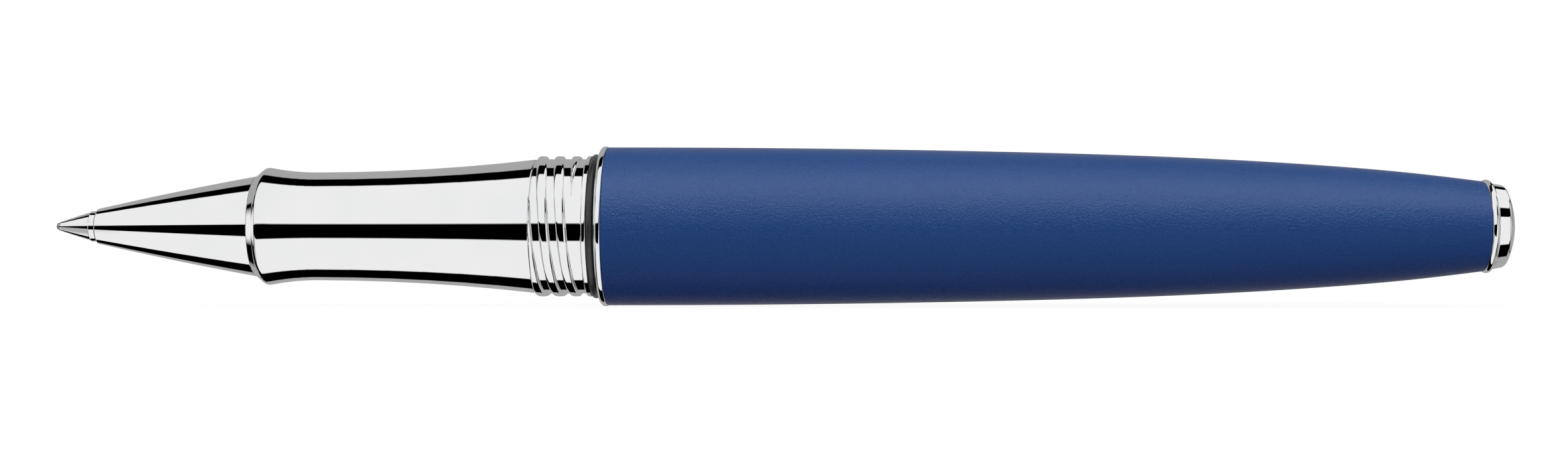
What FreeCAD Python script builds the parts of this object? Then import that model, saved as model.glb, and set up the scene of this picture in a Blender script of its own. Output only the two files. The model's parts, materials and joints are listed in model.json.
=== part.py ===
"""Rollerball pen, uncapped, lying along the X axis: writing tip at -X, tail at +X, +Z up.

Lengths are in millimetres. Every station along the pen is measured from the front of the writing
ball, and every radius from the pen's axis. The pieces are drawn about the X axis and then moved,
so that the origin is below the middle of the pen, on the surface that it lies on.
"""
import FreeCAD, Part
import math
import os

Vector = FreeCAD.Vector

# ---- Driving dimensions: overall
PEN_LENGTH = 125.70
MAX_RADIUS = 6.90
RUNNING_GAP = 0.05
FACE_GAP = 0.02
CHAMFER = 0.30
PAST_END = 1.0

# ---- Refill
BALL_RADIUS = 0.35
BALL_CLEARANCE = 0.015
POINT_LIP = (0.40, 0.40)
POINT_SWELL = (1.70, 0.832)
POINT_BASE_X = 3.05
POINT_BASE_RADIUS = 1.25
POINT_RING_START_X = 3.09
POINT_RING_RADIUS = 1.31
POINT_RING_END_X = 3.54
POINT_SHANK_RADIUS = 0.95
POINT_SHANK_END_X = 8.50
INK_HOLE_RADIUS = 0.12
ROD_RADIUS = 0.60
ROD_START_X = 4.10
ROD_END_X = 27.0
HOLDER_SLIM_RADIUS = 1.30
HOLDER_SLIM_END_X = 5.50
HOLDER_NOSE_START_X = 8.40
HOLDER_NOSE_RADIUS = 1.86
REFILL_SHOULDER_X = 15.96
TUBE_START_X = 16.60
TUBE_END_X = 108.40
REFILL_RADIUS = 3.00
TUBE_BORE_RADIUS = 2.72
RESERVOIR_START_X = 22.2
RESERVOIR_END_X = 104.0
REFILL_END_X = 110.50
PLUG_FLANGE_END_X = 109.40
PLUG_NUB_RADIUS = 1.60
PLUG_START_X = 105.0
VENT_RADIUS = 0.25

# ---- Writing section
NOSE_FRONT_X = 3.60
NOSE_FRONT_RADIUS = 1.42
NOSE_EDGE = (3.64, 1.49)
NOSE_EDGE_END = (3.75, 1.535)
NOSE_SWELL = (10.20, 2.94)
NOSE_END_X = 17.38
NOSE_END_RADIUS = 4.33
NOSE_BORE_RADIUS = POINT_RING_RADIUS + 0.06
NOSE_BORE_END_X = 5.70
NOSE_TAPER_END_X = 8.20
NOSE_TAPER_RADIUS = 1.95
NECK_RADIUS = 3.75
NECK_END_X = 24.00
NECK_BORE_RADIUS = 3.15
BUSH_START_X = 11.62
BUSH_END_X = 15.90
BUSH_RADIUS = 2.66
GRIP_FACE_END = (17.92, 4.74)
GRIP_LIP = (18.03, 4.85)
GRIP_LIP_END = (18.16, 4.95)
GRIP_CREST = (18.30, 5.025)
GRIP_CREST_END = (18.46, 5.05)
GRIP_FALL_START = (18.67, 5.02)
GRIP_FALL = (20.30, 4.775)
GRIP_WAIST = (22.80, 4.657)
GRIP_FLARE = (32.00, 4.94)
GRIP_EDGE = 0.08
GRIP_END_X = 41.48
GRIP_END_RADIUS = 5.80
CORE_START_X = 24.10
CORE_RADIUS = 4.05
CORE_BORE_RADIUS = 3.35
SPIGOT_START_X = 46.95
SPIGOT_END_X = 54.50
SPIGOT_CREST_RADIUS = 4.95
SPIGOT_ROOT_RADIUS = 4.62
COUPLING_PITCH = 0.75
COUPLING_THREAD_HALF_WIDTH = 0.30
COUPLING_CREST_HALF_WIDTH = 0.06
COUPLING_THREAD_RUN_IN = 0.80
SPIGOT_LEAD_IN = 0.40

# ---- Cap thread: two starts, right-handed, raised beads with a flat crest and rounded shoulders
THREAD_ROOT_RADIUS = 5.80
THREAD_CREST_RADIUS = 6.05
THREAD_LEAD = 2.914
THREAD_STARTS = 2
THREAD_SWEEP_DEG = 424.0
THREAD_FADE_DEG = 70.0
THREAD_START_ANGLE_DEG = 112.0
BEAD_HALF_WIDTH = 0.47
BEAD_CREST_HALF_WIDTH = 0.16
BEAD_EMBED = 0.12
SHOULDER_SIDES = 3
THREAD_RING_EDGE = 0.08
RING_START_X = GRIP_END_X + FACE_GAP
FLANGE_START_X = 45.92
FLANGE_END_X = 46.30
FLANGE_RADIUS = 6.06
FLANGE_RISE = (45.89, 5.92)
FLANGE_EDGE = 0.04
HUB_RADIUS = 5.59
HUB_END_X = 46.93
SEAL_X = 46.63
SEAL_SECTION_RADIUS = 0.31
SEAL_CENTRE_RADIUS = 5.91

# ---- Barrel
FRONT_RING_START_X = 46.98
FRONT_RING_FACE_RADIUS = 6.28
FRONT_RING_ROUND = (47.10, 6.66)
FRONT_RING_ROUND_END = (47.28, 6.87)
FRONT_RING_CREST_X = 47.44
FRONT_RING_CREST_END = (47.60, 6.88)
FRONT_RING_BACK_RADIUS = 6.80
FRONT_RING_END_X = 47.65
FRONT_RING_SLEEVE_END_X = 50.00
FRONT_RING_BORE_RADIUS = 5.10
INSERT_RADIUS = 5.88
THREAD_BUSH_END_X = 58.00
THREAD_BUSH_BORE_RADIUS = 5.05
THREAD_BUSH_STEP_X = 55.50
THREAD_BUSH_TURNS = 5
THREAD_GROOVE_DEPTH = 0.30
LINER_START_X = 56.00
LINER_END_X = 112.40
LINER_RADIUS = 3.85
LINER_BORE_RADIUS = 3.40
SHELL_WALL = 0.85
SHELL_START_X = FRONT_RING_END_X + FACE_GAP
SHELL_END_X = 123.08
SHELL_FLANGE_X = 121.70
SHELL_FLANGE_RADIUS = 3.18
SHELL_SEAT_END_X = 59.00
SHELL_EDGE = 0.05
SHELL_STATIONS = [(SHELL_START_X, 6.82), (56.0, 6.80), (70.0, 6.66), (84.0, 6.39),
                  (98.0, 5.92), (110.0, 5.22), (118.0, 4.51), (SHELL_END_X, 3.895)]
HOLDER_CUP_START_X = 110.50
HOLDER_CUP_END_X = 121.65
HOLDER_CUP_START_RADIUS = 4.27
HOLDER_CUP_END_RADIUS = 3.12
CUP_BORE_RADIUS = 2.60
CUP_FLOOR_X = 119.25
WASHER_START_X = 118.80
WASHER_RADIUS = 2.45
WASHER_BORE_RADIUS = 1.00
SPRING_COIL_RADIUS = 2.10
SPRING_WIRE_RADIUS = 0.20
SPRING_WIRE_SIDES = 12
SPRING_COILS = 7
SCREW_HEAD_RADIUS = 1.75
SCREW_HEAD_START_X = 119.30
SCREW_HEAD_END_X = 120.18
SCREW_SHANK_RADIUS = 1.00
SCREW_SOCKET_RADIUS = 0.85
SCREW_SOCKET_DEPTH = 0.50
SCREW_END_X = 124.50
END_RING_START_X = SHELL_END_X + FACE_GAP
END_RING_END_X = 123.70
END_RING_START_RADIUS = 3.87
END_RING_CREST = (123.38, 4.04)
END_RING_END_RADIUS = 3.83
BUTTON_START_X = END_RING_END_X + FACE_GAP
BUTTON_SPIGOT_START_X = 122.30
BUTTON_SPIGOT_RADIUS = 2.00
BUTTON_BAND_RADIUS = 3.73
BUTTON_EDGE = 0.05
BUTTON_BAND_END = (124.60, 3.58)
BUTTON_ROUND = (124.80, 3.49)
BUTTON_SHOULDER = (124.93, 3.33)


def axial(station, radius):
    """A point of an outline: how far along the pen, and how far from its axis."""
    return Vector(station, radius, 0)


def turned(first, *rest):
    """A solid of revolution. Each item after the first point is the next corner, a pair of points
    for an arc through the first of them, or a list of points for a smooth curve through them."""
    edges = []
    here = axial(*first)
    for item in rest:
        if isinstance(item, list):
            curve = Part.BSplineCurve()
            curve.interpolate([here] + [axial(*point) for point in item])
            edges.append(curve.toShape())
            here = axial(*item[-1])
        elif isinstance(item[0], tuple):
            middle, end = axial(*item[0]), axial(*item[1])
            edges.append(Part.Arc(here, middle, end).toShape())
            here = end
        else:
            edges.append(Part.LineSegment(here, axial(*item)).toShape())
            here = axial(*item)
    edges.append(Part.LineSegment(here, axial(*first)).toShape())
    outline = Part.Face(Part.Wire(edges))
    return outline.revolve(Vector(0, 0, 0), Vector(1, 0, 0), 360)


def tube(start, end, bore, radius):
    """A plain sleeve between two stations."""
    return turned((start, bore), (start, radius), (end, radius), (end, bore))


def rod(start, end, radius):
    """A plain solid cylinder between two stations."""
    return Part.makeCylinder(radius, end - start, Vector(start, 0, 0), Vector(1, 0, 0))


def helical_sweep(outline, start_x, start_angle, lead, sweep, sink=0.0):
    """Sweep a closed outline, given at station 0, along a right-handed helix.

    The angle is counted from the top of the pen towards its near side, -Y. The path's radius is
    that of the outline's first point, and sink is how far the path falls towards the axis.
    """
    radius = outline[0][1]
    advance = lead * sweep / 360.0
    cone_angle = -math.degrees(math.atan2(sink, advance))
    path = Part.makeHelix(lead, advance, radius, cone_angle)
    path.rotate(Vector(0, 0, 0), Vector(0, 1, 0), 90)
    section = Part.makePolygon([Vector(x, 0, -r) for x, r in outline + outline[:1]])
    swept = Part.Wire(path.Edges).makePipeShell([section], True, True)
    swept.rotate(Vector(0, 0, 0), Vector(1, 0, 0), start_angle - 180)
    swept.translate(Vector(start_x, 0, 0))
    return swept


def ridge_outline(root, crest, half_width, crest_half_width):
    """A ridge that rises from a root radius over rounded shoulders to a flat crest."""
    angles = [math.pi / 2 * side / SHOULDER_SIDES for side in range(SHOULDER_SIDES + 1)]
    shoulder = [(crest_half_width + (half_width - crest_half_width) * math.cos(angle),
                 root + (crest - root) * math.sin(angle)) for angle in angles]
    return [(-x, radius) for x, radius in shoulder] + shoulder[::-1]


# ---- Refill
def writing_ball():
    return Part.makeSphere(BALL_RADIUS, Vector(BALL_RADIUS, 0, 0))


def point_tip():
    body = turned((POINT_LIP[0], 0), POINT_LIP, (POINT_SWELL, (POINT_BASE_X, POINT_BASE_RADIUS)),
                  (POINT_RING_START_X, POINT_RING_RADIUS), (POINT_RING_END_X, POINT_RING_RADIUS),
                  (POINT_RING_END_X, POINT_SHANK_RADIUS), (POINT_SHANK_END_X, POINT_SHANK_RADIUS),
                  (POINT_SHANK_END_X, 0))
    socket = Part.makeSphere(BALL_RADIUS + BALL_CLEARANCE, Vector(BALL_RADIUS, 0, 0))
    ink_hole = rod(BALL_RADIUS, ROD_START_X, INK_HOLE_RADIUS)
    rod_hole = rod(ROD_START_X - FACE_GAP, POINT_SHANK_END_X + PAST_END, ROD_RADIUS + FACE_GAP)
    return body.cut(socket).cut(ink_hole).cut(rod_hole)


def tip_holder():
    """The plastic nose that carries the point; its flange is the shoulder that stops the refill."""
    shank_bore = POINT_SHANK_RADIUS + FACE_GAP
    rod_bore = ROD_RADIUS + FACE_GAP
    stem_radius = TUBE_BORE_RADIUS - FACE_GAP
    front_x = POINT_RING_END_X + FACE_GAP
    stem_end_x = RESERVOIR_START_X - FACE_GAP
    return turned((front_x, shank_bore), (front_x, HOLDER_SLIM_RADIUS),
                  (HOLDER_SLIM_END_X, HOLDER_SLIM_RADIUS), (HOLDER_NOSE_START_X, HOLDER_NOSE_RADIUS),
                  (REFILL_SHOULDER_X, HOLDER_NOSE_RADIUS), (REFILL_SHOULDER_X, REFILL_RADIUS),
                  (TUBE_START_X, REFILL_RADIUS), (TUBE_START_X, stem_radius),
                  (stem_end_x - CHAMFER, stem_radius), (stem_end_x, stem_radius - CHAMFER),
                  (stem_end_x, rod_bore),
                  (POINT_SHANK_END_X + FACE_GAP, rod_bore), (POINT_SHANK_END_X + FACE_GAP, shank_bore))


def capillary_rod():
    return rod(ROD_START_X, ROD_END_X, ROD_RADIUS)


def refill_tube():
    return tube(TUBE_START_X + FACE_GAP, TUBE_END_X, TUBE_BORE_RADIUS, REFILL_RADIUS)


def ink_reservoir():
    core = rod(RESERVOIR_START_X, RESERVOIR_END_X, TUBE_BORE_RADIUS - FACE_GAP)
    rod_hole = rod(RESERVOIR_START_X - PAST_END, ROD_END_X + RUNNING_GAP, ROD_RADIUS + FACE_GAP)
    return core.cut(rod_hole)


def refill_plug():
    stem_radius = TUBE_BORE_RADIUS - FACE_GAP
    seat_x = TUBE_END_X + FACE_GAP
    return turned((PLUG_START_X, VENT_RADIUS), (PLUG_START_X, stem_radius),
                  (seat_x, stem_radius), (seat_x, REFILL_RADIUS),
                  (PLUG_FLANGE_END_X - CHAMFER, REFILL_RADIUS),
                  (PLUG_FLANGE_END_X, REFILL_RADIUS - CHAMFER), (PLUG_FLANGE_END_X, PLUG_NUB_RADIUS),
                  (REFILL_END_X - CHAMFER, PLUG_NUB_RADIUS), (REFILL_END_X, PLUG_NUB_RADIUS - CHAMFER),
                  (REFILL_END_X, VENT_RADIUS))


# ---- Writing section
def nose_cone():
    """The chrome cone round the refill's nose, with the threaded neck that screws into the grip."""
    seat_x = BUSH_START_X - FACE_GAP
    return turned((NOSE_FRONT_X, NOSE_BORE_RADIUS), (NOSE_FRONT_X, NOSE_FRONT_RADIUS),
                  (NOSE_EDGE, NOSE_EDGE_END), (NOSE_SWELL, (NOSE_END_X, NOSE_END_RADIUS)),
                  (NOSE_END_X, NECK_RADIUS), (NECK_END_X - CHAMFER, NECK_RADIUS),
                  (NECK_END_X, NECK_RADIUS - CHAMFER), (NECK_END_X, NECK_BORE_RADIUS),
                  (BUSH_END_X, NECK_BORE_RADIUS), (BUSH_END_X, BUSH_RADIUS + FACE_GAP),
                  (seat_x, BUSH_RADIUS + FACE_GAP), (seat_x, NOSE_TAPER_RADIUS),
                  (NOSE_TAPER_END_X, NOSE_TAPER_RADIUS), (NOSE_BORE_END_X, NOSE_BORE_RADIUS))


def nose_guide_bush():
    return tube(BUSH_START_X, BUSH_END_X, HOLDER_NOSE_RADIUS + RUNNING_GAP, BUSH_RADIUS)


def grip_sleeve():
    """The waisted chrome grip: a sloping face and rounded lip, the waist, and a flare to the thread."""
    front_x = NOSE_END_X + FACE_GAP
    edge_start = (GRIP_END_X - GRIP_EDGE, GRIP_END_RADIUS - GRIP_EDGE / 2)
    return turned((front_x, NECK_RADIUS + RUNNING_GAP), (front_x, NOSE_END_RADIUS), GRIP_FACE_END,
                  (GRIP_LIP, GRIP_LIP_END), (GRIP_CREST, GRIP_CREST_END),
                  GRIP_FALL_START, (GRIP_FALL, GRIP_WAIST),
                  (GRIP_FLARE, edge_start), (GRIP_END_X, GRIP_END_RADIUS - GRIP_EDGE),
                  (GRIP_END_X, CORE_RADIUS + FACE_GAP),
                  (NECK_END_X + RUNNING_GAP, CORE_RADIUS + FACE_GAP),
                  (NECK_END_X + RUNNING_GAP, NECK_RADIUS + RUNNING_GAP))


def section_core():
    """The brass core: it lines the grip and ends in the threaded spigot that the barrel screws on."""
    shoulder_x = SPIGOT_END_X - SPIGOT_LEAD_IN
    body = turned((CORE_START_X, CORE_BORE_RADIUS), (CORE_START_X, CORE_RADIUS),
                  (SPIGOT_START_X, CORE_RADIUS), (SPIGOT_START_X, SPIGOT_ROOT_RADIUS),
                  (shoulder_x, SPIGOT_ROOT_RADIUS), (SPIGOT_END_X, SPIGOT_ROOT_RADIUS - SPIGOT_LEAD_IN),
                  (SPIGOT_END_X, CORE_BORE_RADIUS))
    outline = ridge_outline(SPIGOT_ROOT_RADIUS - RUNNING_GAP, SPIGOT_CREST_RADIUS,
                            COUPLING_THREAD_HALF_WIDTH, COUPLING_CREST_HALF_WIDTH)
    thread_start_x = SPIGOT_START_X + COUPLING_THREAD_RUN_IN
    thread_end_x = shoulder_x - SPIGOT_LEAD_IN
    turns = (thread_end_x - thread_start_x) / COUPLING_PITCH
    return body.fuse(helical_sweep(outline, thread_start_x, 0, COUPLING_PITCH, 360 * turns))


def cap_thread_ring():
    """The chrome ring with the cap's two-start thread, the locating flange and the seal's groove."""
    edge = THREAD_RING_EDGE
    bore = CORE_RADIUS + FACE_GAP
    body = turned((RING_START_X, bore), (RING_START_X, THREAD_ROOT_RADIUS - edge),
                  (RING_START_X + edge, THREAD_ROOT_RADIUS), (FLANGE_START_X - edge, THREAD_ROOT_RADIUS),
                  (FLANGE_RISE, (FLANGE_START_X + edge, FLANGE_RADIUS)),
                  (FLANGE_END_X - FLANGE_EDGE, FLANGE_RADIUS), (FLANGE_END_X, FLANGE_RADIUS - FLANGE_EDGE),
                  (FLANGE_END_X, HUB_RADIUS), (HUB_END_X, HUB_RADIUS), (HUB_END_X, bore))
    foot_radius = THREAD_ROOT_RADIUS - BEAD_EMBED
    rise = THREAD_CREST_RADIUS - foot_radius
    outline = ridge_outline(foot_radius, THREAD_CREST_RADIUS, BEAD_HALF_WIDTH, BEAD_CREST_HALF_WIDTH)
    keep = tube(RING_START_X, FLANGE_END_X, bore, FLANGE_RADIUS)
    fade_x = RING_START_X + THREAD_LEAD * THREAD_SWEEP_DEG / 360.0
    for number in range(THREAD_STARTS):
        angle = THREAD_START_ANGLE_DEG + number * 360.0 / THREAD_STARTS
        bead = helical_sweep(outline, RING_START_X, angle, THREAD_LEAD, THREAD_SWEEP_DEG)
        fade = helical_sweep(outline, fade_x, angle + THREAD_SWEEP_DEG, THREAD_LEAD, THREAD_FADE_DEG, rise)
        body = body.fuse(bead.common(keep)).fuse(fade.common(keep))
    return body.removeSplitter()


def cap_seal_ring():
    return Part.makeTorus(SEAL_CENTRE_RADIUS, SEAL_SECTION_RADIUS, Vector(SEAL_X, 0, 0), Vector(1, 0, 0))


# ---- Spring seat
def tail_spring():
    """The compression spring that holds the refill forward, its wire drawn with flat sides."""
    first_x = PLUG_FLANGE_END_X + RUNNING_GAP + SPRING_WIRE_RADIUS
    last_x = WASHER_START_X - RUNNING_GAP - SPRING_WIRE_RADIUS
    path = Part.makeHelix((last_x - first_x) / SPRING_COILS, last_x - first_x, SPRING_COIL_RADIUS)
    corner_angles = [math.tau * side / SPRING_WIRE_SIDES for side in range(SPRING_WIRE_SIDES + 1)]
    wire = Part.makePolygon([Vector(SPRING_COIL_RADIUS + SPRING_WIRE_RADIUS * math.cos(angle), 0,
                                    SPRING_WIRE_RADIUS * math.sin(angle)) for angle in corner_angles])
    spring = Part.Wire(path.Edges).makePipeShell([wire], True, True)
    spring.rotate(Vector(0, 0, 0), Vector(0, 1, 0), 90)
    spring.translate(Vector(first_x, 0, 0))
    return spring


def spring_washer():
    return tube(WASHER_START_X, CUP_FLOOR_X - RUNNING_GAP, WASHER_BORE_RADIUS, WASHER_RADIUS)


# ---- Barrel
def front_ring():
    """The chrome ring at the barrel's mouth, with the sleeve that is pressed into the barrel."""
    crest = (FRONT_RING_CREST_X, MAX_RADIUS)
    return turned((FRONT_RING_START_X, FRONT_RING_BORE_RADIUS), (FRONT_RING_START_X, FRONT_RING_FACE_RADIUS),
                  (FRONT_RING_ROUND, FRONT_RING_ROUND_END), (crest, FRONT_RING_CREST_END),
                  (FRONT_RING_END_X, FRONT_RING_BACK_RADIUS),
                  (FRONT_RING_END_X, INSERT_RADIUS), (FRONT_RING_SLEEVE_END_X, INSERT_RADIUS),
                  (FRONT_RING_SLEEVE_END_X, FRONT_RING_BORE_RADIUS))


def thread_bush():
    """The brass bush with the thread that takes the section, and a step that holds the liner."""
    start_x = FRONT_RING_SLEEVE_END_X + FACE_GAP
    body = turned((start_x, THREAD_BUSH_BORE_RADIUS), (start_x, INSERT_RADIUS),
                  (THREAD_BUSH_END_X, INSERT_RADIUS), (THREAD_BUSH_END_X, LINER_RADIUS + FACE_GAP),
                  (THREAD_BUSH_STEP_X, LINER_RADIUS + FACE_GAP),
                  (THREAD_BUSH_STEP_X, THREAD_BUSH_BORE_RADIUS))
    groove = ridge_outline(THREAD_BUSH_BORE_RADIUS - 2 * RUNNING_GAP,
                           THREAD_BUSH_BORE_RADIUS + THREAD_GROOVE_DEPTH,
                           COUPLING_THREAD_HALF_WIDTH, COUPLING_CREST_HALF_WIDTH)
    thread_start_x = start_x + COUPLING_THREAD_RUN_IN
    return body.cut(helical_sweep(groove, thread_start_x, 0, COUPLING_PITCH, 360 * THREAD_BUSH_TURNS))


def barrel_liner():
    return tube(LINER_START_X, LINER_END_X, LINER_BORE_RADIUS, LINER_RADIUS)


def barrel_shell():
    """The lacquered barrel, turned to one smooth curve, with a flange inside its narrow end."""
    seat_radius = INSERT_RADIUS + FACE_GAP
    flange_bore = BUTTON_SPIGOT_RADIUS + RUNNING_GAP
    start_x, start_radius = SHELL_STATIONS[0]
    inside = [(station, radius - SHELL_WALL) for station, radius in reversed(SHELL_STATIONS[2:-1])]
    return turned((start_x, seat_radius), (start_x, start_radius - SHELL_EDGE),
                  (start_x + SHELL_EDGE, start_radius), SHELL_STATIONS[1:], (SHELL_END_X, flange_bore),
                  (SHELL_FLANGE_X, flange_bore), (SHELL_FLANGE_X, SHELL_FLANGE_RADIUS), inside,
                  (SHELL_SEAT_END_X, seat_radius))


def spring_holder():
    """The plastic cup at the tail: it centres the liner, the spring and its washer."""
    counterbore = LINER_RADIUS + FACE_GAP
    screw_bore = SCREW_SHANK_RADIUS + RUNNING_GAP
    head_bore = SCREW_HEAD_RADIUS + RUNNING_GAP
    return turned((HOLDER_CUP_START_X, counterbore), (HOLDER_CUP_START_X, HOLDER_CUP_START_RADIUS),
                  (HOLDER_CUP_END_X, HOLDER_CUP_END_RADIUS), (HOLDER_CUP_END_X, screw_bore),
                  (SCREW_HEAD_END_X, screw_bore), (SCREW_HEAD_END_X, head_bore),
                  (CUP_FLOOR_X, head_bore), (CUP_FLOOR_X, CUP_BORE_RADIUS),
                  (LINER_END_X + FACE_GAP, CUP_BORE_RADIUS), (LINER_END_X + FACE_GAP, counterbore))


def tail_screw():
    """The screw that draws the end button, the ring and the spring holder together."""
    head = rod(SCREW_HEAD_START_X, SCREW_HEAD_END_X, SCREW_HEAD_RADIUS)
    shank = rod(SCREW_HEAD_START_X + SCREW_SOCKET_DEPTH, SCREW_END_X, SCREW_SHANK_RADIUS)
    corner_angles = [math.radians(60 * corner) for corner in range(7)]
    hexagon = Part.makePolygon([Vector(SCREW_HEAD_START_X, SCREW_SOCKET_RADIUS * math.sin(angle),
                                       SCREW_SOCKET_RADIUS * math.cos(angle)) for angle in corner_angles])
    socket = Part.Face(hexagon).extrude(Vector(SCREW_SOCKET_DEPTH, 0, 0))
    return head.fuse(shank).cut(socket)


def end_ring():
    bore = BUTTON_SPIGOT_RADIUS + RUNNING_GAP
    return turned((END_RING_START_X, bore), (END_RING_START_X, END_RING_START_RADIUS),
                  (END_RING_CREST, (END_RING_END_X, END_RING_END_RADIUS)), (END_RING_END_X, bore))


def end_button():
    """The chrome button: a band, a rounded shoulder and a shallow dome, on a spigot."""
    edge = BUTTON_EDGE
    hole = SCREW_SHANK_RADIUS + FACE_GAP
    hole_end_x = SCREW_END_X + RUNNING_GAP
    dome_base_x, dome_base_radius = BUTTON_SHOULDER
    dome_height = PEN_LENGTH - dome_base_x
    dome_radius = (dome_base_radius ** 2 + dome_height ** 2) / (2 * dome_height)
    half_angle = math.asin(dome_base_radius / dome_radius) / 2
    dome_middle = (PEN_LENGTH - dome_radius * (1 - math.cos(half_angle)), dome_radius * math.sin(half_angle))
    return turned((BUTTON_SPIGOT_START_X, hole), (BUTTON_SPIGOT_START_X, BUTTON_SPIGOT_RADIUS),
                  (BUTTON_START_X, BUTTON_SPIGOT_RADIUS), (BUTTON_START_X, BUTTON_BAND_RADIUS - edge),
                  (BUTTON_START_X + edge, BUTTON_BAND_RADIUS), BUTTON_BAND_END,
                  (BUTTON_ROUND, BUTTON_SHOULDER), (dome_middle, (PEN_LENGTH, 0)),
                  (hole_end_x, 0), (hole_end_x, hole))


PIECES = [writing_ball, point_tip, tip_holder, capillary_rod, refill_tube, ink_reservoir, refill_plug,
          nose_cone, nose_guide_bush, grip_sleeve, section_core, cap_thread_ring, cap_seal_ring,
          tail_spring, spring_washer, front_ring, thread_bush, barrel_liner, barrel_shell,
          spring_holder, tail_screw, end_ring, end_button]

os.makedirs("parts", exist_ok=True)
for piece in PIECES:
    shape = piece()
    shape.translate(Vector(-PEN_LENGTH / 2, 0, MAX_RADIUS))
    shape.exportStep("parts/" + piece.__name__ + ".step")
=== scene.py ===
"""Looks of the rollerball pen. The pen lies along X with its writing tip at -X, on the floor at z = 0.

Stations and radii below are in millimetres, from the front of the writing ball and from the pen's
axis. Everything in Blender is in metres: the frame says where the axis and the tip lie.
"""
import json
import math

import bmesh
import bpy
import numpy as np
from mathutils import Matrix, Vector


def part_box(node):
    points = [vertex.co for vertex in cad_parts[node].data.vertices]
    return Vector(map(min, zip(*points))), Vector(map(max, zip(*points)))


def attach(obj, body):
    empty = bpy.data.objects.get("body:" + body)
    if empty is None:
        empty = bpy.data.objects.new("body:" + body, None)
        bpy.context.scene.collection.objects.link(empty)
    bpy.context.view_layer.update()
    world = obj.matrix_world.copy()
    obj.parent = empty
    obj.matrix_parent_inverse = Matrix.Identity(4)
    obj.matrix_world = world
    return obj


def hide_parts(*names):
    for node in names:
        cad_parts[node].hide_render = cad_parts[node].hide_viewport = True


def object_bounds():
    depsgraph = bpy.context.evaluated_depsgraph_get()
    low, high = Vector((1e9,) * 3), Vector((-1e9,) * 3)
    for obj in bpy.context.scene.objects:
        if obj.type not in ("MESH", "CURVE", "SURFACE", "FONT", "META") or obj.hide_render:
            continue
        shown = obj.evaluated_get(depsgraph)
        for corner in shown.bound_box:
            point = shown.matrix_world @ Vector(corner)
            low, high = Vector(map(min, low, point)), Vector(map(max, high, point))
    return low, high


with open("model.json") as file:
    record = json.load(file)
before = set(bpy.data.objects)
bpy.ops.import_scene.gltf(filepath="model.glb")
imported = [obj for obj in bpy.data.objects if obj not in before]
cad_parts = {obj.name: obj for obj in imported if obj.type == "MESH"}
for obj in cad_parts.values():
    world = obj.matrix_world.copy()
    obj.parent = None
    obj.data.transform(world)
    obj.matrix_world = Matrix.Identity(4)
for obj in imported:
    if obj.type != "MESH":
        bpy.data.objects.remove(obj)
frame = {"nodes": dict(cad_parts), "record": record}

MM = 0.001
cad_low, cad_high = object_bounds()
ring_low, ring_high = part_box("front_ring")
AXIS_HEIGHT = (ring_low.z + ring_high.z) / 2
TIP = Vector((cad_low.x, 0, AXIS_HEIGHT))
PEN_LENGTH = (cad_high.x - cad_low.x) / MM

# ---- Turned shapes, in millimetres; only the weld distance is in metres
SEGMENTS = 256
ARC_STEP_DEG = 3.0
ARC_MIN_STEPS = 6
SHARP_EDGE_DEG = 30.0
CURVE_STEPS = 12
EDGE_STEPS = 3
EDGE_SIDE_SHARE = 0.4
SUPPORT = 0.03
ON_AXIS = 1e-7
WELD = 1e-7


def arc_points(start, middle, end):
    """Points of the arc from start through middle to end, without start itself."""
    (ax, ay), (bx, by), (cx, cy) = start, middle, end
    cross = 2 * ((bx - ax) * (cy - ay) - (by - ay) * (cx - ax))
    to_middle = (bx - ax) ** 2 + (by - ay) ** 2
    to_end = (cx - ax) ** 2 + (cy - ay) ** 2
    centre_x = ax + ((cy - ay) * to_middle - (by - ay) * to_end) / cross
    centre_y = ay + ((bx - ax) * to_end - (cx - ax) * to_middle) / cross
    radius = math.hypot(ax - centre_x, ay - centre_y)
    first = math.atan2(ay - centre_y, ax - centre_x)
    turn = (math.atan2(cy - centre_y, cx - centre_x) - first) % math.tau
    through = (math.atan2(by - centre_y, bx - centre_x) - first) % math.tau
    if through > turn:
        turn -= math.tau
    count = max(ARC_MIN_STEPS, math.ceil(abs(math.degrees(turn)) / ARC_STEP_DEG))
    angles = [first + turn * step / count for step in range(1, count)]
    return [(centre_x + radius * math.cos(a), centre_y + radius * math.sin(a)) for a in angles] + [end]


def curve_points(knots):
    """Points of a natural cubic curve through the knots, without the first knot."""
    x, y = np.array(knots, float).T
    step = np.diff(x)
    matrix = np.eye(len(x))
    right = np.zeros(len(x))
    for i in range(1, len(x) - 1):
        matrix[i, i - 1:i + 2] = step[i - 1], 2 * (step[i - 1] + step[i]), step[i]
        right[i] = 6 * ((y[i + 1] - y[i]) / step[i] - (y[i] - y[i - 1]) / step[i - 1])
    bend = np.linalg.solve(matrix, right)
    points = []
    for i, width in enumerate(step):
        for share in np.arange(1, CURVE_STEPS + 1) / CURVE_STEPS:
            a, b = (1 - share) * width, share * width
            value = (bend[i] * a ** 3 + bend[i + 1] * b ** 3) / (6 * width)
            value += (y[i] / width - bend[i] * width / 6) * a
            value += (y[i + 1] / width - bend[i + 1] * width / 6) * b
            points.append((x[i] + b, value))
    return points


def outline(first, *rest):
    """Points of a closed outline. Each item is a corner, a pair for an arc, or a list for a curve."""
    points = [first]
    for item in rest:
        if isinstance(item, list):
            points += curve_points([points[-1]] + item)
        elif isinstance(item[0], tuple):
            points += arc_points(points[-1], *item)
        else:
            points.append(item)
    return points


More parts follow.
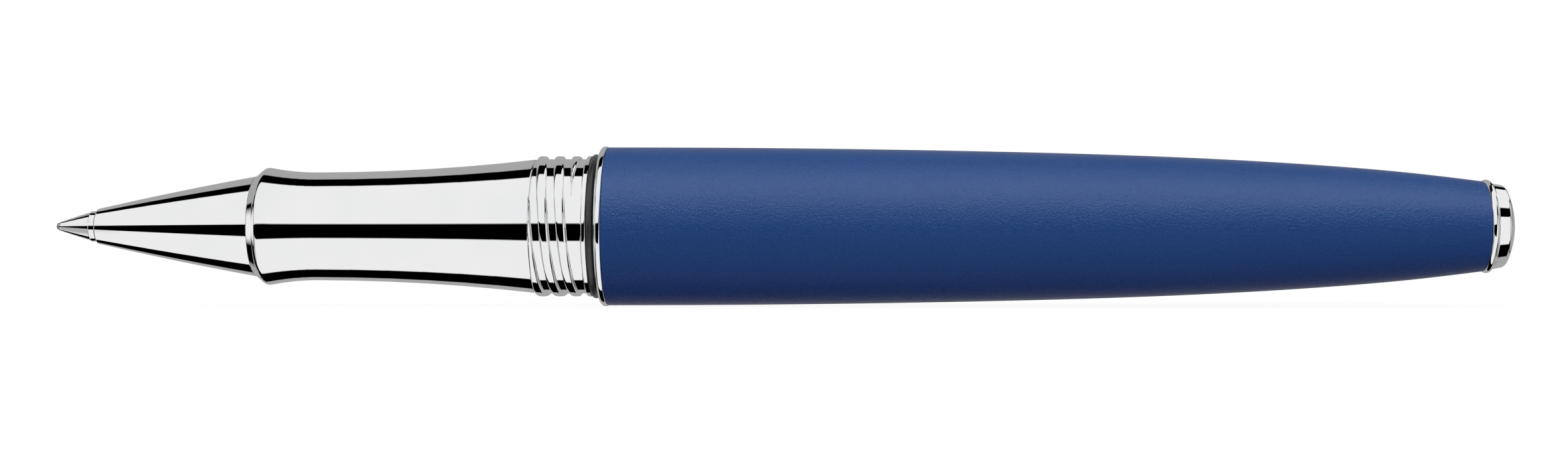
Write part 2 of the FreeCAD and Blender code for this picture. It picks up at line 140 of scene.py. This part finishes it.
def eased(points, size):
    """The closed outline with a small round at every sharp corner that isn't on the axis."""
    result = []
    for i, here in enumerate(points):
        corner = Vector(here)
        back = Vector(points[i - 1]) - corner
        on = Vector(points[(i + 1) % len(points)]) - corner
        if here[1] < ON_AXIS or back.angle(on) > math.radians(180 - SHARP_EDGE_DEG):
            result.append(here)
            continue
        reach = min(size, back.length * EDGE_SIDE_SHARE, on.length * EDGE_SIDE_SHARE)
        start = corner + back.normalized() * reach
        end = corner + on.normalized() * reach
        for step in range(EDGE_STEPS + 1):
            share = step / EDGE_STEPS
            point = start * (1 - share) ** 2 + corner * 2 * share * (1 - share) + end * share ** 2
            result.append(tuple(point))
    return result


def supported(points):
    """The closed outline with two more points on each long side, so that shading stays flat there."""
    result = []
    for i, here in enumerate(points):
        start, end = Vector(points[i - 1]), Vector(here)
        if (end - start).length > 4 * SUPPORT:
            step = (end - start).normalized() * SUPPORT
            result += [tuple(start + step), tuple(end - step)]
        result.append(here)
    return result


def ring(station, radius, count):
    """Points round the axis, counted from the top towards the near side."""
    angles = np.arange(count) * math.tau / count
    radius = np.broadcast_to(radius, count)
    across, up = -radius * np.sin(angles), radius * np.cos(angles)
    return np.column_stack([np.broadcast_to(station, count), across, up])


def band_faces(first, second, count):
    """Quads between two rings of vertices that start at these numbers."""
    after = [(k + 1) % count for k in range(count)]
    return [(first + k, first + n, second + n, second + k) for k, n in enumerate(after)]


def add_object(name, data):
    """A new object, linked to the scene."""
    made = bpy.data.objects.new(name, data)
    bpy.context.scene.collection.objects.link(made)
    return made


def add_piece(name, vertices, faces, body, stands_for, material):
    """A smooth mesh, given in millimetres from the tip, that rides on a body in place of a CAD node."""
    mesh = bpy.data.meshes.new(name)
    mesh.from_pydata((np.asarray(vertices) * MM + np.array(TIP)).tolist(), [], faces)
    shape = bmesh.new()
    shape.from_mesh(mesh)
    bmesh.ops.remove_doubles(shape, verts=shape.verts, dist=WELD)
    bmesh.ops.recalc_face_normals(shape, faces=shape.faces)
    shape.to_mesh(mesh)
    shape.free()
    mesh.polygons.foreach_set("use_smooth", [True] * len(mesh.polygons))
    mesh.set_sharp_from_angle(angle=math.radians(SHARP_EDGE_DEG))
    mesh.materials.append(material)
    piece = add_object(name, mesh)
    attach(piece, body)
    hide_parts(stands_for)


def add_turned(name, points, body, stands_for, material, edge=0.02, segments=SEGMENTS):
    """A closed outline turned about the axis, with its sharp corners eased."""
    points = supported(eased(points, edge)) if edge else points
    vertices = np.vstack([ring(station, radius, segments) for station, radius in points])
    starts = [row * segments for row in range(len(points))]
    faces = []
    for i, start in enumerate(starts):
        if points[i - 1][1] > ON_AXIS or points[i][1] > ON_AXIS:
            faces += band_faces(starts[i - 1], start, segments)
    add_piece(name, vertices, faces, body, stands_for, material)


# ---- Node helpers
# A colour Mix node's sockets by number, because its other data types use the same names
MIX_FIRST, MIX_SECOND, MIX_RESULT = 6, 7, 2
# Nearly all of a noise pattern lies between these levels
NOISE_LOW, NOISE_HIGH = 0.3, 0.7


def node(tree, kind, settings=(), **inputs):
    """A shader node with its settings, and its inputs linked or set by name."""
    made = tree.nodes.new("ShaderNode" + kind)
    for key, value in dict(settings).items():
        setattr(made, key, value)
    for key, value in inputs.items():
        set_input(tree, made.inputs[key.replace("_", " ")], value)
    return made


def set_input(tree, socket, value):
    if isinstance(value, bpy.types.NodeSocket):
        tree.links.new(value, socket)
    else:
        socket.default_value = value


def maths(tree, operation, *values):
    made = node(tree, "Math", {"operation": operation})
    for socket, value in zip(made.inputs, values):
        set_input(tree, socket, value)
    return made.outputs[0]


def remapped(tree, value, low, high, to_low=0.0, to_high=1.0, smooth=False):
    kind = "SMOOTHSTEP" if smooth else "LINEAR"
    made = node(tree, "MapRange", {"interpolation_type": kind}, Value=value)
    for key, amount in {"From Min": low, "From Max": high, "To Min": to_low, "To Max": to_high}.items():
        made.inputs[key].default_value = amount
    return made.outputs["Result"]


def ramp(tree, factor, stops):
    """A colour ramp through (place, colour) or (place, grey) stops."""
    made = node(tree, "ValToRGB", Fac=factor)
    elements = made.color_ramp.elements
    while len(elements) < len(stops):
        elements.new(0.5)
    for element, (place, _) in zip(elements, stops):
        element.position = place
    for element, (_, colour) in zip(elements, stops):
        element.color = (*colour, 1) if isinstance(colour, tuple) else (colour, colour, colour, 1)
    return made.outputs["Color"]


def mixed(tree, factor, first, second):
    made = node(tree, "Mix", {"data_type": "RGBA"})
    set_input(tree, made.inputs["Factor"], factor)
    set_input(tree, made.inputs[MIX_FIRST], first)
    set_input(tree, made.inputs[MIX_SECOND], second)
    return made.outputs[MIX_RESULT]


def place_scaled(tree, along, across):
    """The place on the object, stretched by one factor along the pen and by another across it."""
    coordinates = node(tree, "TexCoord").outputs["Object"]
    made = node(tree, "VectorMath", {"operation": "MULTIPLY"})
    set_input(tree, made.inputs[0], coordinates)
    made.inputs[1].default_value = (along, across, across)
    return made.outputs[0]


def noise(tree, along, across, detail=2.0):
    """Noise whose grains are 1/along long and 1/across wide, in metres."""
    made = node(tree, "TexNoise", Vector=place_scaled(tree, along, across), Scale=1.0, Detail=detail)
    return made.outputs["Fac"]


def bumped(tree, height, depth, normal=None):
    made = node(tree, "Bump", Height=height, Distance=depth, Strength=1.0)
    if normal:
        tree.links.new(normal, made.inputs["Normal"])
    return made.outputs["Normal"]


def shades(tree, pattern, dark, light):
    """From one colour to another with a noise pattern."""
    return ramp(tree, pattern, [(NOISE_LOW, dark), (NOISE_HIGH, light)])


def spread(tree, pattern, low, high):
    """From one value to another with a noise pattern."""
    return remapped(tree, pattern, NOISE_LOW, NOISE_HIGH, low, high)


def surface(name, build, **uniform):
    """A material on one Principled shader: uniform values on its sockets, the rest linked by build."""
    material = bpy.data.materials.new(name)
    material.use_nodes = True
    tree = material.node_tree
    shader = tree.nodes["Principled BSDF"]
    for key, value in uniform.items():
        shader.inputs[key.replace("_", " ")].default_value = value
    for key, value in build(tree).items():
        tree.links.new(value, shader.inputs[key])
    return material


# ---- Materials
def chrome_finish(tree):
    """Bright plating, with faint polishing lines round the pen and a slight haze in patches."""
    haze = noise(tree, 180, 180, 3)
    lines = noise(tree, 9000, 60)
    tint = shades(tree, haze, (0.90, 0.905, 0.915), (0.94, 0.94, 0.94))
    return {"Base Color": tint, "Roughness": spread(tree, haze, 0.008, 0.022),
            "Normal": bumped(tree, lines, 8e-9)}


def lacquer_finish(tree):
    """Satin blue lacquer over a fine, soft grain like leather."""
    clouds = noise(tree, 90, 90, 2)
    grain = noise(tree, 9200, 6800, 2)
    pores = node(tree, "TexVoronoi", {"feature": "SMOOTH_F1"}, Vector=place_scaled(tree, 5200, 5800),
                 Scale=1.0)
    blue = shades(tree, grain, (0.0155, 0.064, 0.234), (0.0265, 0.108, 0.366))
    faded = shades(tree, clouds, (0.0195, 0.083, 0.292), (0.0225, 0.091, 0.308))
    soft = bumped(tree, pores.outputs["Distance"], 1.5e-5)
    return {"Base Color": mixed(tree, 0.5, blue, faded), "Roughness": spread(tree, grain, 0.15, 0.23),
            "Normal": bumped(tree, grain, 7.5e-5, soft)}


def rubber_finish(tree):
    speckle = noise(tree, 6000, 6000, 3)
    colour = shades(tree, speckle, (0.012, 0.012, 0.012), (0.022, 0.022, 0.022))
    return {"Base Color": colour, "Roughness": spread(tree, speckle, 0.28, 0.38),
            "Normal": bumped(tree, speckle, 3e-6)}


def brass_finish(tree):
    lines = noise(tree, 14000, 150)
    tarnish = noise(tree, 220, 220, 4)
    colour = shades(tree, tarnish, (0.60, 0.42, 0.17), (0.78, 0.59, 0.29))
    return {"Base Color": colour, "Roughness": spread(tree, lines, 0.16, 0.30),
            "Normal": bumped(tree, lines, 1.2e-6)}


def drawn_steel_finish(tree):
    """Satin steel tube, drawn along the pen."""
    lines = noise(tree, 120, 5000)
    clouds = noise(tree, 300, 300, 3)
    colour = shades(tree, clouds, (0.56, 0.56, 0.57), (0.66, 0.66, 0.66))
    return {"Base Color": colour, "Roughness": spread(tree, lines, 0.20, 0.30),
            "Normal": bumped(tree, lines, 1.2e-7)}


def point_steel_finish(tree):
    """Fine turned steel: the cutter's lines run round the cone."""
    lines = noise(tree, 22000, 300)
    colour = shades(tree, lines, (0.88, 0.88, 0.89), (0.93, 0.93, 0.93))
    return {"Base Color": colour, "Roughness": spread(tree, lines, 0.02, 0.05),
            "Normal": bumped(tree, lines, 2e-8)}


def carbide_finish(tree):
    grains = noise(tree, 30000, 30000, 3)
    colour = shades(tree, grains, (0.36, 0.36, 0.38), (0.50, 0.50, 0.52))
    return {"Base Color": colour, "Roughness": spread(tree, grains, 0.06, 0.14)}


def plastic_finish(dark, light):
    def build(tree):
        moulding = noise(tree, 2500, 2500, 3)
        flow = noise(tree, 120, 350, 2)
        return {"Base Color": shades(tree, flow, dark, light),
                "Roughness": spread(tree, moulding, 0.34, 0.5),
                "Normal": bumped(tree, moulding, 3e-6)}
    return build


def fibre_finish(tree):
    strands = noise(tree, 400, 9000, 4)
    colour = shades(tree, strands, (0.02, 0.03, 0.12), (0.07, 0.10, 0.30))
    return {"Base Color": colour, "Roughness": spread(tree, strands, 0.75, 0.95),
            "Normal": bumped(tree, strands, 2e-5)}


CHROME = surface("chrome_plate", chrome_finish, Metallic=1.0)
LACQUER = surface("blue_satin_lacquer", lacquer_finish, Specular_IOR_Level=0.1)
RUBBER = surface("black_seal_rubber", rubber_finish, Specular_IOR_Level=0.8)
BRASS = surface("turned_brass", brass_finish, Metallic=1.0)
STEEL = surface("drawn_steel", drawn_steel_finish, Metallic=1.0)
POINT_STEEL = surface("turned_point_steel", point_steel_finish, Metallic=1.0)
CARBIDE = surface("carbide_ball", carbide_finish, Metallic=1.0)
BLACK_PLASTIC = surface("black_moulded_plastic", plastic_finish((0.030, 0.030, 0.033), (0.045, 0.045, 0.050)))
WHITE_PLASTIC = surface("white_moulded_plastic", plastic_finish((0.70, 0.70, 0.67), (0.80, 0.80, 0.78)))
FIBRE = surface("inky_fibre", fibre_finish)

SLOT_MATERIALS = {"chrome": CHROME, "blue_lacquer": LACQUER, "black_rubber": RUBBER, "brass": BRASS,
                  "steel": STEEL, "point_steel": POINT_STEEL, "ball": CARBIDE, "black_plastic": BLACK_PLASTIC,
                  "white_plastic": WHITE_PLASTIC, "ink_fibre": FIBRE}
for part in frame["record"]["subparts"]:
    cad = frame["nodes"][part["node"]]
    cad.data.materials.clear()
    cad.data.materials.append(SLOT_MATERIALS[part["material_slot"]])

# ---- Stations and radii of the pieces that show
FACE_GAP = 0.02
MAX_RADIUS = AXIS_HEIGHT / MM
BALL_RADIUS = 0.35
BALL_CLEARANCE = 0.015
POINT_RING = (3.09, 3.54, 1.31)
NECK_RADIUS = 3.75
NECK_CLEARANCE = 0.05
CORE_BORE = 4.07
NOSE_END = (17.38, 4.33)
GRIP_END = (41.48, 5.80)
THREAD_FRONT_X = GRIP_END[0] + FACE_GAP
THREAD_ROOT_RADIUS = 5.80
THREAD_CREST_RADIUS = 6.05
THREAD_LEAD = 2.914
THREAD_STARTS = 2
THREAD_START_TURN = 0.311
THREAD_FULL_TO_X = 44.93
THREAD_GONE_X = 45.50
BEAD_HALF_WIDTH = 0.45
BEAD_SHOULDER = 0.29
FLANGE_X = 45.92
# Vertices of the thread: round the pen, and along it on a bead's shoulder, its crest and the root
THREAD_COLUMNS = 360
SHOULDER_ROWS = 10
CREST_ROWS = 18
ROOT_ROWS = 6
PITCHES_BEFORE = 3
SEAL_STEPS = 40


def add_ball_and_point():
    """The writing ball, held in the lip of the steel point."""
    start, end = (0.0, 0.0), (2 * BALL_RADIUS, 0.0)
    ball = outline(start, ((BALL_RADIUS, BALL_RADIUS), end))
    add_turned("ball_polished", ball, "ball", "writing_ball", CARBIDE, edge=0, segments=96)
    ring_start, ring_end, ring_radius = POINT_RING
    socket = BALL_RADIUS + BALL_CLEARANCE
    lip_x = 0.40
    halfway = socket * 0.71
    socket_radius = math.sqrt(socket ** 2 - (lip_x - BALL_RADIUS) ** 2)
    point = outline((lip_x, socket_radius), (lip_x, 0.385), ((0.406, 0.400), (0.425, 0.408)),
                    ((1.70, 0.832), (3.05, 1.25)), (ring_start, ring_radius), (ring_end, ring_radius),
                    (ring_end, 0.95), (8.50, 0.95), (8.50, 0.62), (4.08, 0.62), (4.08, 0.12),
                    (BALL_RADIUS + socket, 0.12), ((BALL_RADIUS + halfway, halfway), (lip_x, socket_radius)))
    add_turned("point_turned", point[:-1], "refill", "point_tip", POINT_STEEL, edge=0.012)


def add_nose_cone():
    cone = outline((3.60, 1.37), (3.60, 1.42), ((3.64, 1.49), (3.75, 1.535)), ((10.20, 2.94), NOSE_END),
                   (NOSE_END[0], NECK_RADIUS), (23.70, NECK_RADIUS), (24.00, 3.45), (24.00, 3.15),
                   (15.90, 3.15), (15.90, 2.68), (11.60, 2.68), (11.60, 1.95), (8.20, 1.95), (5.70, 1.37))
    add_turned("nose_cone_plated", cone, "section", "nose_cone", CHROME)


def add_grip():
    front_x = NOSE_END[0] + FACE_GAP
    end_x, end_radius = GRIP_END
    edge = 0.08
    grip = outline((front_x, NECK_RADIUS + NECK_CLEARANCE), (front_x, NOSE_END[1]), (17.92, 4.74),
                   ((18.03, 4.85), (18.16, 4.95)), ((18.30, 5.025), (18.46, 5.05)), (18.67, 5.02),
                   ((20.30, 4.775), (22.80, 4.657)),
                   ((32.00, 4.94), (end_x - edge, end_radius - edge / 2)), (end_x, end_radius - edge),
                   (end_x, CORE_BORE), (24.05, CORE_BORE), (24.05, NECK_RADIUS + NECK_CLEARANCE))
    add_turned("grip_plated", grip, "section", "grip_sleeve", CHROME)


def bead_height(station, turn):
    """How far the thread stands out of its root, at a station and a share of a turn from the top.

    A bead has a flat crest between rounded shoulders, and it runs out by narrowing from the rear.
    """
    pitch = THREAD_LEAD / THREAD_STARTS
    first_centre = THREAD_FRONT_X + THREAD_LEAD * (turn - THREAD_START_TURN)
    offset = (station - first_centre + pitch / 2) % pitch - pitch / 2
    centre = station - offset
    runout = np.clip((centre - THREAD_FULL_TO_X) / (THREAD_GONE_X - THREAD_FULL_TO_X), 0, None)
    from_front = offset + BEAD_HALF_WIDTH
    from_rear = BEAD_HALF_WIDTH * (1 - 2 * runout) - offset
    inside = np.clip(np.minimum(from_front, from_rear) / BEAD_SHOULDER, 0, 1)
    return (THREAD_CREST_RADIUS - THREAD_ROOT_RADIUS) * np.sqrt(1 - (1 - inside) ** 2)


def add_thread_ring():
    """The cap thread: rows of vertices follow the helix, so that the beads have clean edges."""
    pitch = THREAD_LEAD / THREAD_STARTS
    edge = 0.08
    front_x, rear_x = THREAD_FRONT_X + edge, FLANGE_X - edge
    shoulder = BEAD_SHOULDER * (1 - np.cos(np.linspace(0, math.pi / 2, SHOULDER_ROWS)))
    crest_half = BEAD_HALF_WIDTH - BEAD_SHOULDER
    crest = np.linspace(-crest_half, crest_half, CREST_ROWS)[1:-1]
    across_bead = np.concatenate([shoulder - BEAD_HALF_WIDTH, crest, BEAD_HALF_WIDTH - shoulder[::-1]])
    across_root = np.linspace(BEAD_HALF_WIDTH, pitch - BEAD_HALF_WIDTH, ROOT_ROWS)[1:-1]
    rows_per_pitch = np.concatenate([across_bead, across_root])
    first_row = THREAD_FRONT_X - THREAD_LEAD * THREAD_START_TURN
    pitches = range(-PITCHES_BEFORE, math.ceil((rear_x - first_row) / pitch) + 1)
    rows = np.concatenate([first_row + number * pitch + rows_per_pitch for number in pitches])
    turns = np.arange(THREAD_COLUMNS) / THREAD_COLUMNS
    vertices, faces = [], []
    for row in rows:
        stations = np.clip(row + THREAD_LEAD * turns, front_x, rear_x)
        radii = THREAD_ROOT_RADIUS + bead_height(stations, turns)
        vertices.append(ring(stations, radii, THREAD_COLUMNS))
    lead_rows = THREAD_STARTS * len(rows_per_pitch)
    last = THREAD_COLUMNS - 1
    for row in range(len(rows) - 1):
        start, above = row * THREAD_COLUMNS, (row + 1) * THREAD_COLUMNS
        faces += [(start + k, start + k + 1, above + k + 1, above + k) for k in range(last)]
        if row + 1 + lead_rows < len(rows):
            joined = start + lead_rows * THREAD_COLUMNS
            faces.append((start + last, joined, joined + THREAD_COLUMNS, above + last))
    front_radii = THREAD_ROOT_RADIUS + bead_height(np.full(THREAD_COLUMNS, front_x), turns)
    rest = [(FLANGE_X - edge, THREAD_ROOT_RADIUS)]
    rest += arc_points(rest[0], (FLANGE_X - 0.03, 5.92), (FLANGE_X + edge, 6.06))
    rest += [(46.26, 6.06), (46.29, 6.05), (46.30, 6.02), (46.30, 5.59), (46.93, 5.59), (46.93, CORE_BORE)]
    rest += [(THREAD_FRONT_X, CORE_BORE)]
    rings = [ring(station, radius, THREAD_COLUMNS) for station, radius in rest]
    rings.append(ring(THREAD_FRONT_X, front_radii - edge, THREAD_COLUMNS))
    rings.append(ring(front_x, front_radii, THREAD_COLUMNS))
    first = len(rows) * THREAD_COLUMNS
    for number in range(len(rings) - 1):
        start = first + number * THREAD_COLUMNS
        faces += band_faces(start, start + THREAD_COLUMNS, THREAD_COLUMNS)
    add_piece("cap_thread_plated", np.vstack(vertices + rings), faces, "section", "cap_thread_ring",
              CHROME)


def add_seal():
    centre_x, centre_radius, section = 46.63, 5.91, 0.31
    angles = [math.tau * step / SEAL_STEPS for step in range(SEAL_STEPS)]
    circle = [(centre_x + section * math.cos(a), centre_radius + section * math.sin(a)) for a in angles]
    add_turned("seal_ring_moulded", circle, "section", "cap_seal_ring", RUBBER, edge=0)


def add_front_ring():
    shape = outline((46.98, 5.10), (46.98, 6.28), ((47.10, 6.66), (47.28, 6.87)),
                    ((47.44, MAX_RADIUS), (47.60, 6.88)), (47.65, 6.80), (47.65, 5.88), (50.00, 5.88),
                    (50.00, 5.10))
    add_turned("front_ring_plated", shape, "barrel", "front_ring", CHROME)


def add_shell():
    """The lacquered barrel: one smooth curve, with the lacquer rounded over both ends."""
    profile = [(56.0, 6.80), (70.0, 6.66), (84.0, 6.39), (98.0, 5.92), (110.0, 5.22), (118.0, 4.51),
               (123.08, 3.895)]
    shape = outline((47.67, 5.90), (47.67, 6.77), ((47.685, 6.805), (47.72, 6.82)), profile,
                    (123.08, 2.05), (121.70, 2.05), (121.70, 3.18), (118.0, 3.66), (110.0, 4.37),
                    (98.0, 5.07), (84.0, 5.54), (70.0, 5.81), (59.0, 5.90))
    add_turned("barrel_lacquered", shape, "barrel", "barrel_shell", LACQUER, edge=0.04)


def add_tail():
    """The ring at the barrel's end and the domed button."""
    ring_shape = outline((123.10, 2.05), (123.10, 3.87), ((123.38, 4.04), (123.70, 3.83)), (123.70, 2.05))
    add_turned("end_ring_plated", ring_shape, "barrel", "end_ring", CHROME)
    base_x, base_radius = 124.93, 3.33
    height = PEN_LENGTH - base_x
    dome_radius = (base_radius ** 2 + height ** 2) / (2 * height)
    half_angle = math.asin(base_radius / dome_radius) / 2
    crown = (PEN_LENGTH - dome_radius * (1 - math.cos(half_angle)), dome_radius * math.sin(half_angle))
    button = outline((122.30, 1.02), (122.30, 2.00), (123.72, 2.00), (123.72, 3.68),
                     ((123.735, 3.715), (123.77, 3.73)), (124.60, 3.58),
                     ((124.80, 3.49), (base_x, base_radius)), (crown, (PEN_LENGTH, 0)), (124.55, 0),
                     (124.55, 1.02))
    add_turned("end_button_plated", button, "barrel", "end_button", CHROME)


add_ball_and_point()
add_nose_cone()
add_grip()
add_thread_ring()
add_seal()
add_front_ring()
add_shell()
add_tail()

# ---- Studio: plain cards round the pen, which polished metal reflects. Each card is given by the angle
# where it ends, counted from straight in front (0) over the pen, or under it, to straight behind (180).
BLACK, GREY, WHITE = 0.0, 0.4, 0.9
CARDS_ABOVE = [(5, BLACK), (95, WHITE), (120, BLACK), (180, GREY)]
CARDS_BELOW = [(25, BLACK), (105, WHITE), (140, BLACK), (180, GREY)]
CARD_EDGE_DEG = 2.0
# Below, a direction's share along the pen runs from -1 at the tip's end to 1 at the tail's.
# The walls past the two ends, and how much of the reflection they take from the cards
END_WALLS = [(-1.0, WHITE), (-0.98, WHITE), (-0.94, BLACK), (0.80, BLACK), (0.82, GREY), (1.0, GREY)]
END_WALL_SHARES = [(-1.0, 1), (-0.92, 1), (-0.905, 0), (0.75, 0), (0.77, 1), (0.80, 1), (0.83, 0.6),
                   (1.0, 0.6)]
# The cards turn towards the top past the tail, and the card below is dimmer before the tip
TAIL_TWIST_DEG = 57.0
TAIL_TWIST_RANGE = (0.08, 0.66)
POINT_FLOOR_DIMMING = 0.5
POINT_DIMMING_RANGE = (-0.74, -0.64)
# Soft light on everything that isn't polished: its level all round, from above and from in front
LIGHT_ALL_ROUND = 0.16
LIGHT_ABOVE = 0.75
LIGHT_IN_FRONT = 0.55
LIGHT_FROM_BELOW = (0.15, 0.07, 0.14)
LIGHT_FROM_BELOW_RANGE = (0.2, -0.6)
FLOOR_HALF_SIDE = 3.0
FLOOR_GLOW = 0.94
SOFTBOX_HEIGHT = 0.25
SOFTBOX_LENGTH = 0.90
# Softboxes that light only the lacquer. Each spans these angles round the pen, from straight in front
# (0) to overhead (90)
SOFTBOXES = [("front_softbox", 32.0, 72.0, 6.2), ("overhead_softbox", 72.0, 100.0, 3.0)]
# The camera's lens and sensor are in millimetres, its shift in sensor widths, the rest in metres
CAMERA_LENS = 56.4
CAMERA_SENSOR = 36.0
CAMERA_SHIFT = -0.059
CAMERA_CLIP = 0.005
CAMERA_X, CAMERA_Y, CAMERA_RISE = 0.00795, -0.2122, 0.00003


def card_stops(cards):
    """Ramp stops for the cards round half of the pen, with a soft edge between neighbours."""
    stops = [(0.0, cards[0][1])]
    for (end, level), (_, next_level) in zip(cards, cards[1:]):
        stops.append(((end - CARD_EDGE_DEG / 2) / 180, level))
        stops.append(((end + CARD_EDGE_DEG / 2) / 180, next_level))
    return stops + [(1.0, cards[-1][1])]


def build_world():
    """A white background for the camera, the cards for reflections, and soft light for the rest."""
    world = bpy.data.worlds.new("studio")
    bpy.context.scene.world = world
    world.use_nodes = True
    world.cycles.sampling_method = "NONE"
    tree = world.node_tree
    tree.nodes.clear()
    direction = node(tree, "SeparateXYZ", Vector=node(tree, "TexCoord").outputs["Generated"])
    along, away, up = direction.outputs
    toward = maths(tree, "MULTIPLY", away, -1.0)
    angle = maths(tree, "ARCTAN2", up, toward)
    twist = remapped(tree, along, *TAIL_TWIST_RANGE, to_high=math.radians(TAIL_TWIST_DEG), smooth=True)
    twisted = maths(tree, "SUBTRACT", angle, twist)
    is_above = maths(tree, "GREATER_THAN", twisted, 0.0)
    share = maths(tree, "DIVIDE", maths(tree, "ABSOLUTE", twisted), math.pi)
    above = ramp(tree, share, card_stops(CARDS_ABOVE))
    below = ramp(tree, share, card_stops(CARDS_BELOW))
    before_tip = remapped(tree, along, *POINT_DIMMING_RANGE, to_low=POINT_FLOOR_DIMMING, smooth=True)
    dimmed = node(tree, "VectorMath", {"operation": "SCALE"}, Scale=before_tip)
    set_input(tree, dimmed.inputs[0], below)
    bands = mixed(tree, is_above, dimmed.outputs[0], above)
    place = remapped(tree, along, -1.0, 1.0)
    ends = ramp(tree, place, [((at + 1) / 2, level) for at, level in END_WALLS])
    end_share = ramp(tree, place, [((at + 1) / 2, share) for at, share in END_WALL_SHARES])
    metal_light = mixed(tree, end_share, bands, ends)
    from_above = maths(tree, "MULTIPLY_ADD", up, LIGHT_ABOVE, LIGHT_ALL_ROUND)
    soft_level = maths(tree, "MULTIPLY_ADD", toward, LIGHT_IN_FRONT, from_above)
    soft_light = maths(tree, "MAXIMUM", soft_level, 0.0)
    below_share = remapped(tree, up, *LIGHT_FROM_BELOW_RANGE)
    from_below = node(tree, "VectorMath", {"operation": "SCALE"}, Scale=below_share)
    from_below.inputs[0].default_value = LIGHT_FROM_BELOW
    lit = node(tree, "VectorMath", {"operation": "ADD"})
    set_input(tree, lit.inputs[0], soft_light)
    set_input(tree, lit.inputs[1], from_below.outputs[0])
    rays = node(tree, "LightPath")
    seen = mixed(tree, rays.outputs["Is Glossy Ray"], lit.outputs[0], metal_light)
    seen = mixed(tree, rays.outputs["Is Camera Ray"], seen, (1, 1, 1, 1))
    background = node(tree, "Background", Color=seen, Strength=1.0)
    output = node(tree, "OutputWorld", Surface=background.outputs["Background"])
    output.is_active_output = True


def floor_finish(tree):
    """White paper with a trace of tooth; it gives off most of its light, so shadows stay faint."""
    tooth = noise(tree, 900, 900, 3)
    return {"Base Color": shades(tree, tooth, (0.09, 0.09, 0.09), (0.11, 0.11, 0.11))}


def build_floor():
    mesh = bpy.data.meshes.new("floor")
    corners = [(x * FLOOR_HALF_SIDE, y * FLOOR_HALF_SIDE, 0) for x, y in ((-1, -1), (1, -1), (1, 1), (-1, 1))]
    mesh.from_pydata(corners, [], [(0, 1, 2, 3)])
    floor = add_object("floor", mesh)
    paper = surface("floor_paper", floor_finish, Roughness=1.0, Specular_IOR_Level=0.0,
                    Emission_Color=(1, 1, 1, 1), Emission_Strength=FLOOR_GLOW)
    paper.cycles.emission_sampling = "NONE"
    mesh.materials.append(paper)
    floor.visible_glossy = False
    floor.visible_diffuse = False


def build_softboxes():
    """Softboxes over the pen, which only put the satin sheen on the lacquer."""
    lit = bpy.data.collections.new("lit_by_softboxes")
    lit.objects.link(bpy.data.objects["barrel_lacquered"])
    for name, near_deg, far_deg, radiance in SOFTBOXES:
        near_y = -SOFTBOX_HEIGHT / math.tan(math.radians(near_deg))
        far_y = -SOFTBOX_HEIGHT / math.tan(math.radians(far_deg))
        light = bpy.data.lights.new(name, "AREA")
        light.shape = "RECTANGLE"
        light.size = SOFTBOX_LENGTH
        light.size_y = far_y - near_y
        light.energy = radiance * math.pi * light.size * light.size_y
        softbox = add_object(name, light)
        softbox.location = (0, (near_y + far_y) / 2, AXIS_HEIGHT + SOFTBOX_HEIGHT)
        softbox.visible_diffuse = False
        softbox.visible_camera = False
        softbox.light_linking.receiver_collection = lit


def build_camera():
    """The camera looks straight along +Y from beside the barrel's front half."""
    camera_data = bpy.data.cameras.new("camera")
    camera_data.lens = CAMERA_LENS
    camera_data.sensor_width = CAMERA_SENSOR
    camera_data.shift_x = CAMERA_SHIFT
    camera_data.clip_start = CAMERA_CLIP
    camera = add_object("camera", camera_data)
    camera.location = (CAMERA_X, CAMERA_Y, AXIS_HEIGHT + CAMERA_RISE)
    camera.rotation_euler = (math.pi / 2, 0, 0)
    bpy.context.scene.camera = camera


build_world()
build_floor()
build_softboxes()
build_camera()
bpy.context.scene.view_settings.view_transform = "Standard"
